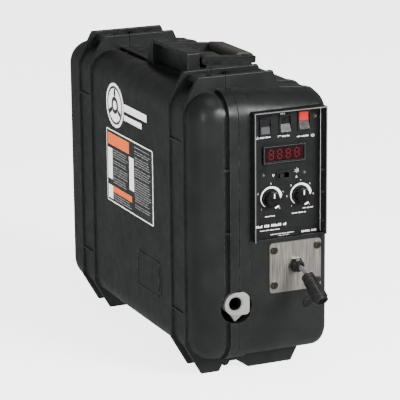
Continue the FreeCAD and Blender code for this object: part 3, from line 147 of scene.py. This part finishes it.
class Shader:
    """A node material: a Principled surface and short calls that add nodes to it."""

    def __init__(self, name, rgb, rough, metal=0.0, **sockets):
        self.mat = bpy.data.materials.new(name)
        self.mat.use_nodes = True
        self.tree = self.mat.node_tree
        self.bsdf = self.tree.nodes["Principled BSDF"]
        self.rgb = (*rgb, 1)
        self.bsdf.inputs["Base Color"].default_value = self.rgb
        self.bsdf.inputs["Roughness"].default_value = rough
        self.bsdf.inputs["Metallic"].default_value = metal
        for socket, value in sockets.items():
            self.bsdf.inputs[socket.replace("_", " ")].default_value = value
        self.place = self.add("ShaderNodeTexCoord").outputs["Object"]
        self.height = None

    def add(self, kind, settings=None, **inputs):
        node = self.tree.nodes.new(kind)
        for key, value in (settings or {}).items():
            setattr(node, key, value)
        for key, value in inputs.items():
            self.feed(node.inputs[key.replace("_", " ")], value)
        return node

    def feed(self, socket, value):
        if isinstance(value, bpy.types.NodeSocket):
            self.tree.links.new(value, socket)
        else:
            socket.default_value = value

    def calc(self, operation, a, b=0.0):
        node = self.add("ShaderNodeMath", {"operation": operation})
        self.feed(node.inputs[0], a)
        self.feed(node.inputs[1], b)
        return node.outputs[0]

    def noise(self, scale, detail, stretch=(1, 1, 1)):
        place = self.add("ShaderNodeMapping", Vector=self.place, Scale=stretch).outputs[0]
        return self.add("ShaderNodeTexNoise", Vector=place, Scale=scale,
                        Detail=detail).outputs["Fac"]

    def ramp(self, value, low, high, from_value=0.0, to_value=1.0):
        node = self.add("ShaderNodeMapRange", {"interpolation_type": "SMOOTHSTEP"}, Value=value)
        for key, number in (("From Min", low), ("From Max", high), ("To Min", from_value),
                            ("To Max", to_value)):
            node.inputs[key].default_value = number
        return node.outputs["Result"]

    def edges(self, width):
        """1 along a solid's edges and 0 on its faces."""
        bevel = self.add("ShaderNodeBevel", {"samples": 4}, Radius=width).outputs[0]
        facing = self.add("ShaderNodeNewGeometry").outputs["Normal"]
        dot = self.add("ShaderNodeVectorMath", {"operation": "DOT_PRODUCT"})
        self.feed(dot.inputs[0], bevel)
        self.feed(dot.inputs[1], facing)
        return self.ramp(self.calc("SUBTRACT", 1.0, dot.outputs["Value"]), 0.02, 0.25)

    def mix(self, factor, a, b):
        node = self.add("ShaderNodeMix", {"data_type": "RGBA"})
        self.feed(node.inputs["Factor"], factor)
        self.feed(node.inputs[6], a)
        self.feed(node.inputs[7], b)
        return node.outputs[2]

    def colour(self, value):
        self.feed(self.bsdf.inputs["Base Color"], value)
        return self

    def vary(self, scale, amount, stretch=(1, 1, 1)):
        """Patches slightly darker and lighter than the base colour."""
        dark = [c * (1 - amount) for c in self.rgb[:3]] + [1]
        light = [min(1.0, c * (1 + amount)) for c in self.rgb[:3]] + [1]
        field = self.ramp(self.noise(scale, 4, stretch), 0.3, 0.7)
        self.tint = self.mix(field, dark, light)
        return self.colour(self.tint)

    def wear(self, width, rgb, amount=0.5):
        """Rubbed edges, broken up by noise. Where the edge colour is lighter than the face, as on
        the case, it also stands for a painted highlight along the edges.
        """
        edge_wear_and_highlight = self.calc("MULTIPLY", self.edges(width), self.ramp(self.noise(220, 5), 0.42, 0.62))
        edge_wear_and_highlight = self.calc("MULTIPLY", edge_wear_and_highlight, amount)
        self.tint = self.mix(edge_wear_and_highlight, self.tint, (*rgb, 1))
        return self.colour(self.tint)

    def gloss(self, scale, low, high, stretch=(1, 1, 1)):
        """Roughness that wanders between two values."""
        field = self.ramp(self.noise(scale, 5, stretch), 0.3, 0.7, low, high)
        self.feed(self.bsdf.inputs["Roughness"], field)
        return self

    def bump(self, field, depth, strength=1.0):
        node = self.add("ShaderNodeBump", Height=field, Distance=depth, Strength=strength)
        if self.height is not None:
            self.feed(node.inputs["Normal"], self.height)
        self.height = node.outputs[0]
        self.feed(self.bsdf.inputs["Normal"], self.height)
        return self

    def grain(self, scale, depth, strength=0.6, stretch=(1, 1, 1)):
        return self.bump(self.noise(scale, 2, stretch), depth, strength)


def case_plastic():
    s = Shader("case_plastic", (0.0090, 0.0097, 0.0096), 0.36, Specular_IOR_Level=0.18)
    # The lighter edges are partly rubbed wear and partly a painted highlight along the case's
    # rounded edges.
    s.vary(22, 0.14).wear(0.0016, (0.060, 0.063, 0.061), 0.8)
    s.gloss(60, 0.30, 0.44)
    pebble = s.add("ShaderNodeTexVoronoi", {"feature": "SMOOTH_F1"}, Vector=s.place, Scale=950.0)
    s.bump(pebble.outputs["Distance"], 0.00012, 0.35)
    return s.grain(190, 0.0003, 0.3).mat


def moulded_black():
    s = Shader("moulded_black", (0.0055, 0.006, 0.0062), 0.42, Specular_IOR_Level=0.30)
    s.vary(40, 0.15).wear(0.0006, (0.05, 0.05, 0.05), 0.4).gloss(120, 0.32, 0.46)
    return s.grain(1400, 0.00005, 0.4).mat


def gloss_black():
    s = Shader("gloss_black", (0.004, 0.004, 0.0045), 0.28, Specular_IOR_Level=0.20)
    s.vary(60, 0.2).wear(0.0003, (0.04, 0.04, 0.04), 0.4).gloss(180, 0.24, 0.40)
    return s.grain(900, 0.00002, 0.3).mat


def two_tone_rocker(name, split, upper, lower, rough, glow=0.0):
    """A rocker cap whose halves, above and below a height, differ in colour. The difference is
    painted light and shade, not the cap's own colour; glow gives the upper half a faint painted
    glow.
    """
    s = Shader(name, upper, rough, Specular_IOR_Level=0.16)
    s.vary(90, 0.08)
    height = s.add("ShaderNodeSeparateXYZ", Vector=s.place).outputs["Z"]
    top = s.ramp(height, split - 0.4 * MM, split + 0.4 * MM)
    s.colour(s.mix(top, (*lower, 1), s.tint)).gloss(200, rough - 0.06, rough + 0.1)
    if glow:
        s.bsdf.inputs["Emission Color"].default_value = (*upper, 1)
        s.feed(s.bsdf.inputs["Emission Strength"], s.calc("MULTIPLY", top, glow))
    return s.grain(900, 0.00002, 0.3).mat


def grip_rubber():
    s = Shader("grip_rubber", (0.040, 0.037, 0.028), 0.62)
    s.vary(45, 0.18).wear(0.001, (0.10, 0.095, 0.08), 0.4).gloss(90, 0.52, 0.72)
    return s.grain(700, 0.00015, 0.5).mat


def soft_black(name="soft_black", level=0.008, rough=0.34):
    s = Shader(name, (level, level, level), rough)
    s.vary(70, 0.2).wear(0.0006, (0.05, 0.05, 0.05), 0.4).gloss(140, rough - 0.08, rough + 0.1)
    return s.grain(900, 0.00006, 0.4).mat


def panel_paint():
    """Black powder coat, bare along the cut front edges of the hood."""
    low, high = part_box("control_panel")
    s = Shader("panel_paint", (0.0060, 0.0064, 0.0066), 0.5, Specular_IOR_Level=0.20)
    s.vary(50, 0.12)
    depth = s.add("ShaderNodeSeparateXYZ", Vector=s.place).outputs["Y"]
    ragged = s.calc("MULTIPLY", s.noise(260, 4), 0.5 * MM)
    bare = s.calc("LESS_THAN", s.calc("ADD", depth, ragged), low.y + 0.35 * MM)
    rubbed = s.calc("MULTIPLY", s.edges(0.0009), s.ramp(s.noise(200, 5), 0.40, 0.60))
    bare = s.calc("MAXIMUM", bare, s.calc("MULTIPLY", rubbed, 0.75))
    s.colour(s.mix(bare, s.tint, (0.24, 0.235, 0.23, 1)))
    s.feed(s.bsdf.inputs["Metallic"], s.calc("MULTIPLY", bare, 0.85))
    s.gloss(90, 0.36, 0.5)
    return s.grain(1100, 0.00008, 0.35).mat


def brushed(name, rgb, along, low=0.22, high=0.36):
    """Brushed metal, with its lines along one direction."""
    s = Shader(name, rgb, 0.3, 1.0)
    stretch = tuple(1.0 if a else 28.0 for a in along)
    s.vary(26, 0.2, stretch=stretch).gloss(30, low, high, stretch)
    return s.grain(55, 0.00006, 0.5, stretch).mat


def zinc_steel():
    s = Shader("zinc_steel", (0.55, 0.56, 0.57), 0.34, 1.0)
    s.vary(120, 0.1).gloss(150, 0.26, 0.44)
    return s.grain(600, 0.00002, 0.4).mat


def black_steel():
    s = Shader("black_steel", (0.028, 0.026, 0.018), 0.4, 0.6)
    s.vary(300, 0.3).wear(0.0003, (0.16, 0.15, 0.12), 0.6).gloss(300, 0.3, 0.5)
    return s.grain(900, 0.00003, 0.4).mat


def cast_alloy(name="cast_alloy", bore=None):
    """Cast metal, with painted shade in its bore where one is given by its X, Z, radius and mouth's
    Y.
    """
    s = Shader(name, (0.26, 0.26, 0.25), 0.5, 0.3)
    s.vary(45, 0.1).wear(0.0008, (0.45, 0.45, 0.44), 0.5).gloss(80, 0.4, 0.6)
    if bore:
        x, z, radius, mouth = bore
        place = s.add("ShaderNodeSeparateXYZ", Vector=s.place).outputs
        across = s.calc("SUBTRACT", place["X"], x)
        up = s.calc("SUBTRACT", place["Z"], z)
        away = s.calc("SQRT", s.calc("ADD", s.calc("MULTIPLY", across, across),
                                     s.calc("MULTIPLY", up, up)))
        # Painted shade: the bore's inside is near black and not metallic, as if no light reached
        # it.
        bore_shade = s.calc("MULTIPLY", s.calc("LESS_THAN", away, radius),
                        s.ramp(place["Y"], mouth, mouth + 4 * MM))
        s.colour(s.mix(bore_shade, s.tint, (0.006, 0.006, 0.006, 1)))
        s.feed(s.bsdf.inputs["Metallic"], s.ramp(bore_shade, 0.0, 1.0, 0.45, 0.0))
    return s.grain(650, 0.00018, 0.5).mat


def brass():
    s = Shader("brass", (0.62, 0.46, 0.20), 0.3, 1.0)
    s.vary(90, 0.15).gloss(120, 0.22, 0.42)
    return s.grain(500, 0.00002, 0.4).mat


def copper_wire():
    """Layers of fine copper-coated wire laid side by side."""
    s = Shader("copper_wire", (0.72, 0.40, 0.24), 0.28, 1.0)
    s.vary(60, 0.16).gloss(100, 0.2, 0.36)
    x = s.add("ShaderNodeSeparateXYZ", Vector=s.place).outputs["X"]
    turns = s.calc("SINE", s.calc("MULTIPLY", x, 2 * math.pi / (1.2 * MM)))
    return s.bump(turns, 0.0003, 0.6).mat


def display_filter():
    s = Shader("display_filter", (0.010, 0.0012, 0.0018), 0.3, Specular_IOR_Level=0.30)
    s.vary(120, 0.25).gloss(90, 0.14, 0.24)
    return s.grain(500, 0.00001, 0.2).mat


def lit_segments():
    """Red numerals that glow faintly."""
    s = Shader("lit_segments", (0.055, 0.004, 0.008), 0.5, Specular_IOR_Level=0.25,
               Emission_Color=(0.8, 0.01, 0.04, 1), Emission_Strength=0.02)
    return s.vary(300, 0.15).gloss(200, 0.25, 0.4).mat


def lamp_lens():
    s = Shader("lamp_lens", (0.045, 0.045, 0.042), 0.12, Coat_Weight=0.5)
    return s.vary(500, 0.2).gloss(300, 0.08, 0.2).grain(300, 0.00001, 0.2).mat


def board_green():
    s = Shader("board_green", (0.02, 0.13, 0.06), 0.3)
    s.vary(200, 0.25).gloss(150, 0.22, 0.4)
    cells = s.add("ShaderNodeTexVoronoi", {"distance": "MANHATTAN"}, Vector=s.place, Scale=420.0)
    return s.bump(cells.outputs["Distance"], 0.0001, 0.5).mat


def spool_plastic():
    s = Shader("spool_plastic", (0.66, 0.67, 0.65), 0.4)
    s.vary(30, 0.06).wear(0.0006, (0.5, 0.5, 0.48), 0.3).gloss(80, 0.34, 0.5)
    return s.grain(600, 0.00006, 0.3).mat


def lead_jacket():
    s = Shader("lead_jacket", (0.105, 0.105, 0.11), 0.42)
    s.vary(200, 0.2).gloss(200, 0.34, 0.5)
    return s.grain(900, 0.00005, 0.5).mat


def printed_film(name, rgb, rough=0.5, sheen=0.20):
    s = Shader(name, rgb, rough, Specular_IOR_Level=sheen)
    s.vary(45, 0.05).gloss(120, rough - 0.06, rough + 0.12)
    return s.grain(500, 0.00003, 0.3).mat


def motor_paint():
    s = Shader("motor_paint", (0.05, 0.05, 0.055), 0.38)
    s.vary(60, 0.15).wear(0.0008, (0.3, 0.3, 0.3), 0.4).gloss(120, 0.3, 0.46)
    return s.grain(900, 0.00008, 0.5).mat


BY_SLOT = {
    "case_plastic": case_plastic(),
    "black_plastic": moulded_black(),
    "gloss_black": gloss_black(),
    # The power rocker's bright red upper half with its faint glow and its dark lower half are
    # painted light and shade.
    "red_plastic": two_tone_rocker("red_plastic", POWER_ROCKER_SPLIT, (0.34, 0.008, 0.005),
                                   (0.012, 0.003, 0.003), 0.36, 0.10),
    "grip_rubber": grip_rubber(),
    "black_rubber": soft_black(),
    "panel_paint": panel_paint(),
    "stainless": brushed("stainless", (0.68, 0.645, 0.585), (0, 0, 1), 0.3, 0.45),
    "zinc_steel": zinc_steel(),
    "black_steel": black_steel(),
    "cast_alloy": cast_alloy(),
    "brass": brass(),
    "copper_wire": copper_wire(),
    "display_red": display_filter(),
    "lamp_lens": lamp_lens(),
    "board_green": board_green(),
    "spool_plastic": spool_plastic(),
    "lead_jacket": lead_jacket(),
    "hose_rubber": soft_black("hose_rubber", 0.02, 0.5),
    "label_print": printed_film("label_print", (0.80, 0.80, 0.79)),
    "motor_paint": motor_paint(),
}


def dress(obj, material):
    obj.data.materials.clear()
    obj.data.materials.append(material)


for row in frame["record"]["subparts"]:
    dress(NODES[row["node"]], BY_SLOT[row["material_slot"]])
dress(lead, BY_SLOT["lead_jacket"])
# The purge rocker's lighter lower half is a painted reflection.
dress(NODES["purge_rocker"], two_tone_rocker("purge_rocker_painted_sheen", PURGE_ROCKER_SPLIT,
                                             (0.008, 0.008, 0.009), (0.045, 0.045, 0.05), 0.34))
dress(NODES["gun_block"], cast_alloy("gun_casting", GUN_BORE))


# ------------------------------------------------------------------ printed marks

def panel_place(across, up, height):
    """A place in front of the control panel's face, from millimetres."""
    return Vector((across, -PANEL_FACE - height, up)) * MM


def display_place(across, up, height):
    """A place in front of the display's filter."""
    return Vector((across, -DISPLAY_FACE - height, up)) * MM


def door_place(across, up, height):
    """A place on the door's side; across runs from the rear to the front."""
    return Vector((-DOOR_FACE - height, -across, up)) * MM


SEGMENTS = {
    "a": ((0, 1), (1, 1)), "b": ((1, 1), (1, 0.5)), "c": ((1, 0.5), (1, 0)), "d": ((0, 0), (1, 0)),
    "e": ((0, 0.5), (0, 0)), "f": ((0, 1), (0, 0.5)), "g": ((0, 0.5), (1, 0.5)),
}
DIGITS = {"0": "abcdef", "1": "bc", "2": "abged", "3": "abgcd", "4": "fgbc", "5": "afgcd",
          "6": "afgedc", "7": "abc", "8": "abcdefg", "9": "abcdfg"}


class Marks:
    """Thin raised marks on one face, in millimetres across and up it."""

    def __init__(self, place, low, high):
        self.place, self.low, self.high = place, low, high
        self.mesh = bmesh.new()

    def ribbon(self, one, two):
        """A closed strip between two lines of points."""
        rings = []
        for (a0, b0), (a1, b1) in zip(one, two):
            rings.append([self.mesh.verts.new(self.place(a, b, h)) for a, b, h in (
                (a0, b0, self.low), (a1, b1, self.low), (a1, b1, self.high), (a0, b0, self.high))])
        for here, there in zip(rings, rings[1:]):
            for i in range(4):
                j = (i + 1) % 4
                self.mesh.faces.new((here[i], here[j], there[j], there[i]))
        self.mesh.faces.new(rings[0][::-1])
        self.mesh.faces.new(rings[-1])

    def bar(self, a0, a1, b0, b1):
        self.ribbon([(a0, b0), (a1, b0)], [(a0, b1), (a1, b1)])

    def stroke(self, start, end, width):
        (a0, b0), (a1, b1) = start, end
        reach = math.hypot(a1 - a0, b1 - b0)
        across, up = -(b1 - b0) / reach * width / 2, (a1 - a0) / reach * width / 2
        self.ribbon([(a0 + across, b0 + up), (a1 + across, b1 + up)],
                    [(a0 - across, b0 - up), (a1 - across, b1 - up)])

    def crescent(self, centre, inner, widths, start, sweep, steps=40):
        """An arc that swells from one width to another, clockwise from a start angle."""
        one, two = [], []
        for i in range(steps + 1):
            t = i / steps
            a = math.radians(start - sweep * t)
            outer = inner + widths[0] + (widths[1] - widths[0]) * t
            one.append((centre[0] + inner * math.cos(a), centre[1] + inner * math.sin(a)))
            two.append((centre[0] + outer * math.cos(a), centre[1] + outer * math.sin(a)))
        self.ribbon(one, two)

    def digits(self, text, across, up, height, width):
        """Seven-stroke numerals centred on a place."""
        wide = height * 0.52
        step = wide + width * 2.2
        left = across - (step * (len(text) - 1) + wide) / 2
        for i, letter in enumerate(text):
            for name in DIGITS[letter]:
                (a0, b0), (a1, b1) = SEGMENTS[name]
                start = [left + i * step + a0 * wide, up + (b0 - 0.5) * height]
                end = [left + i * step + a1 * wide, up + (b1 - 0.5) * height]
                trim = width * 0.62
                if a0 != a1:
                    start[0], end[0] = start[0] + trim, end[0] - trim
                else:
                    start[1], end[1] = start[1] - trim, end[1] + trim
                self.stroke(start, end, width)

    def words(self, rng, a0, a1, b0, b1, letter):
        """A line of small unreadable blocks that stands for a line of print."""
        a, left = a0, rng.randint(3, 8)
        while a + letter * 0.6 <= a1:
            drop = (b1 - b0) * rng.choice((0.0, 0.0, 0.3))
            self.bar(a, a + letter * 0.62, b0, b1 - drop)
            left -= 1
            a += letter * (1.0 if left else 1.9)
            left = left or rng.randint(3, 8)

    def finish(self, name, body, material):
        bmesh.ops.recalc_face_normals(self.mesh, faces=self.mesh.faces)
        data = bpy.data.meshes.new(name)
        self.mesh.to_mesh(data)
        self.mesh.free()
        piece = bpy.data.objects.new(name, data)
        bpy.context.scene.collection.objects.link(piece)
        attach(piece, body)
        dress(piece, material)
        return piece


def panel_legends(rng):
    """White legends on the control panel: dials, scale numbers and short captions, and a painted
    highlight line down the inner right edge of the panel's face.
    """
    marks = Marks(panel_place, 0.02, 0.14)
    for centre, low, high in ((VOLTAGE_DIAL, 1, 5), (SPEED_DIAL, 1, 7)):
        marks.crescent(centre, 14.0, (0.7, 4.0), 234, 224)
        tip = math.radians(10)
        marks.ribbon([(centre[0] + 14.0 * math.cos(tip), centre[1] + 14.0 * math.sin(tip)),
                      (centre[0] + 15.4, centre[1] - 1.4)],
                     [(centre[0] + 18.0 * math.cos(tip), centre[1] + 18.0 * math.sin(tip)),
                      (centre[0] + 16.0, centre[1] - 1.5)])
        count = high - low
        for i in range(low, high + 1):
            a = math.radians(226 - 274 * (i - low) / count)
            c, s = math.cos(a), math.sin(a)
            marks.digits(str(i), centre[0] + 20.8 * c, centre[1] + 20.8 * s, 2.2, 0.42)
        marks.stroke((centre[0] + 13.0, centre[1] - 12.6), (centre[0] + 7.4, centre[1] - 15.2), 2.4)
    captions = (
        (-4.6, 11.6, 343.9, 1.9), (29.6, 43.0, 343.1, 1.9), (52.8, 70.3, 340.2, 1.9),
        (27.0, 34.0, 374.8, 1.3), (3.2, 18.6, 230.3, 1.5), (44.9, 68.5, 230.5, 1.5),
        (61.9, 78.5, 236.3, 1.5), (-4.6, 25.6, 210.3, 1.2), (11.4, 48.7, 203.3, 1.2),
        (24.5, 41.0, 200.6, 0.9),
    )
    for a0, a1, middle, tall in captions:
        marks.words(rng, a0, a1, middle - tall / 2, middle + tall / 2, tall * 0.8)
    marks.words(rng, -16.5, 37.7, 214.9, 218.4, 2.7)
    marks.words(rng, 60.0, 84.0, 200.9, 203.7, 2.0)
    marks.crescent((-8.7, 344.0), 1.3, (0.5, 0.5), 90, 300, 14)
    marks.crescent((77.6, 339.9), 1.6, (0.5, 0.5), 90, 330, 16)
    marks.stroke((75.0, 338.4), (75.0, 341.4), 0.5)
    marks.stroke((23.6, 342.0), (23.6, 344.2), 0.5)
    marks.stroke((23.9, 344.2), (28.0, 344.2), 0.5)
    marks.stroke((14.6, 290.2), (15.9, 286.6), 0.7)
    marks.stroke((17.4, 290.2), (16.5, 287.5), 0.7)
    marks.crescent((52.5, 291.9), 1.2, (0.5, 0.5), 90, 330, 14)
    for i in range(6):
        a = math.radians(60 * i + 30)
        marks.stroke((52.5 + 2.4 * math.cos(a), 291.9 + 2.4 * math.sin(a)),
                     (52.5 + 3.7 * math.cos(a), 291.9 + 3.7 * math.sin(a)), 0.5)
    marks.stroke((50.6, 282.0), (53.2, 282.0), 0.7)
    marks.stroke((51.9, 283.2), (51.9, 284.6), 0.7)
    # A thin white line down the inner right edge of the panel's face: a painted highlight, not
    # print.
    marks.bar(89.3, 89.75, 199.6, 381.0)
    return marks.finish("panel_legends", "base", printed_film("legend_ink_and_edge_highlight", (0.78, 0.78, 0.77)))


def display_digits():
    """Four dim red numerals on the front of the filter."""
    marks = Marks(display_place, 0.02, 0.10)
    for i in range(4):
        marks.digits("8", 12.0 + i * 13.3, 318.5, 12.6, 1.5)
    return marks.finish("display_digits", "base", lit_segments())


def knob_pointers():
    """The white line on each knob's raised pointer."""
    for name, (across, up) in (("voltage_knob", VOLTAGE_DIAL), ("speed_knob", SPEED_DIAL)):
        front = -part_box(name)[0].y / MM - PANEL_FACE
        marks = Marks(panel_place, front + 0.02, front + 0.10)
        marks.bar(across - 0.7, across + 0.7, up + 2.4, up + 9.0)
        marks.finish(name + "_line", name, printed_film(name + "_ink", (0.75, 0.75, 0.74)))


def display_rim():
    """The thin line, lighter than the black, round the display's bezel."""
    marks = Marks(panel_place, 3.01, 3.10)
    x0, x1, z0, z1 = 0.4, 64.2, 306.6, 330.4
    for a0, a1, b0, b1 in ((x0, x1, z0, z0 + 0.5), (x0, x1, z1 - 0.5, z1),
                           (x0, x0 + 0.5, z0 + 0.6, z1 - 0.6), (x1 - 0.5, x1, z0 + 0.6, z1 - 0.6)):
        marks.bar(a0, a1, b0, b1)
    return marks.finish("display_rim", "base", printed_film("bezel_rim_line", (0.05, 0.053, 0.051)))


def door_prints(rng):
    """The big label's field and blocks, the badge's wheel and the two plain bars beside it."""
    u0, u1, v0, v1 = -76.3, 96.9, 193.1, 301.4
    wide, tall = u1 - u0, v1 - v0

    def at(marks, ua, ub, va, vb):
        marks.bar(u0 + ua * wide, u0 + ub * wide, v1 - vb * tall, v1 - va * tall)

    field = Marks(door_place, 0.42, 0.47)
    field.bar(u0, u1, v0, v1)
    field.finish("label_field", "door", printed_film("label_dark", (0.016, 0.017, 0.018)))

    orange = Marks(door_place, 0.49, 0.54)
    at(orange, 0.02, 0.50, 0.035, 0.20)
    at(orange, 0.13, 0.55, 0.775, 0.86)
    orange.finish("label_orange", "door", printed_film("label_ink_orange", (0.66, 0.105, 0.008)))

    white = Marks(door_place, 0.49, 0.54)
    at(white, 0.02, 0.12, 0.25, 0.69)
    at(white, 0.50, 0.60, 0.23, 0.69)
    at(white, 0.02, 0.12, 0.78, 0.97)
    white.bar(-7.0, 79.0, 341.0, 352.0)
    white.bar(-7.0, 60.0, 327.5, 335.5)
    white.finish("label_white", "door", printed_film("label_ink_white", (0.80, 0.80, 0.79)))

    lines = Marks(door_place, 0.49, 0.54)
    columns = ((0.14, 0.48, 0.25, 0.72), (0.62, 0.97, 0.05, 0.90), (0.14, 0.55, 0.885, 0.975))
    for ua, ub, va, vb in columns:
        v = va
        while v < vb:
            lines.words(rng, u0 + ua * wide, u0 + (ub - rng.uniform(0, 0.06)) * wide,
                        v1 - v * tall - 1.25, v1 - v * tall, 2.0)
            v += 0.033 if rng.random() > 0.12 else 0.055
    lines.finish("label_lines", "door", printed_film("label_ink_grey", (0.30, 0.30, 0.30)))

    ring = Marks(door_place, 0.42, 0.50)
    centre = (-42.4, 342.9)
    ring.crescent(centre, 25.5, (3.6, 3.6), 90, 359.0, 72)
    ring.crescent(centre, 7.0, (6.0, 6.0), 90, 359.0, 48)
    for i in range(3):
        a = math.radians(120 * i + 90)
        ring.stroke((centre[0] + 13.5 * math.cos(a), centre[1] + 13.5 * math.sin(a)),
                    (centre[0] + 25.0 * math.cos(a), centre[1] + 25.0 * math.sin(a)), 6.5)
    ring.finish("badge_ring", "door", printed_film("badge_ink", (0.02, 0.02, 0.022)))


RNG = random.Random(LABEL_SEED)
panel_legends(RNG)
display_digits()
knob_pointers()
display_rim()
door_prints(RNG)


# ------------------------------------------------------------------ stage

def plain(name, rgb, rough, glow):
    """A pale matt surface that gives some light of its own."""
    s = Shader(name, rgb, rough, Emission_Color=(1, 1, 1, 1), Emission_Strength=glow)
    return s.gloss(2, rough - 0.05, rough + 0.05).mat


def make_floor():
    mesh = bpy.data.meshes.new("floor")
    corners = [(x * FLOOR_HALF, y * FLOOR_HALF, 0) for x, y in ((-1, -1), (1, -1), (1, 1), (-1, 1))]
    mesh.from_pydata(corners, [], [(0, 1, 2, 3)])
    floor = bpy.data.objects.new("floor", mesh)
    bpy.context.scene.collection.objects.link(floor)
    floor.data.materials.append(plain("floor", (0.93, 0.93, 0.93), 0.8, FLOOR_GLOW))
    # Black plastic would mirror the glowing floor and turn grey.
    floor.visible_glossy = False


def softbox(name, place, size, watts, target=(0, 0, 0.2)):
    data = bpy.data.lights.new(name, "AREA")
    data.shape = "RECTANGLE"
    data.size, data.size_y = size
    data.energy = watts
    light = bpy.data.objects.new(name, data)
    bpy.context.scene.collection.objects.link(light)
    light.location = place
    way = Vector(target) - Vector(place)
    light.rotation_mode = "QUATERNION"
    light.rotation_quaternion = way.to_track_quat("-Z", "Y")


def make_light():
    world = bpy.data.worlds.new("studio")
    world.use_nodes = True
    sky = world.node_tree.nodes["Background"]
    sky.inputs["Color"].default_value = (1, 1, 1, 1)
    sky.inputs["Strength"].default_value = SKY_STRENGTH
    bpy.context.scene.world = world
    softbox("key_light", (1.0, -2.1, 1.4), (0.9, 0.9), 115)
    softbox("fill_light", (-1.9, -1.7, 1.0), (0.5, 1.5), 26)
    softbox("top_light", (0.1, -0.5, 2.3), (1.2, 1.2), 10)


make_floor()
make_light()
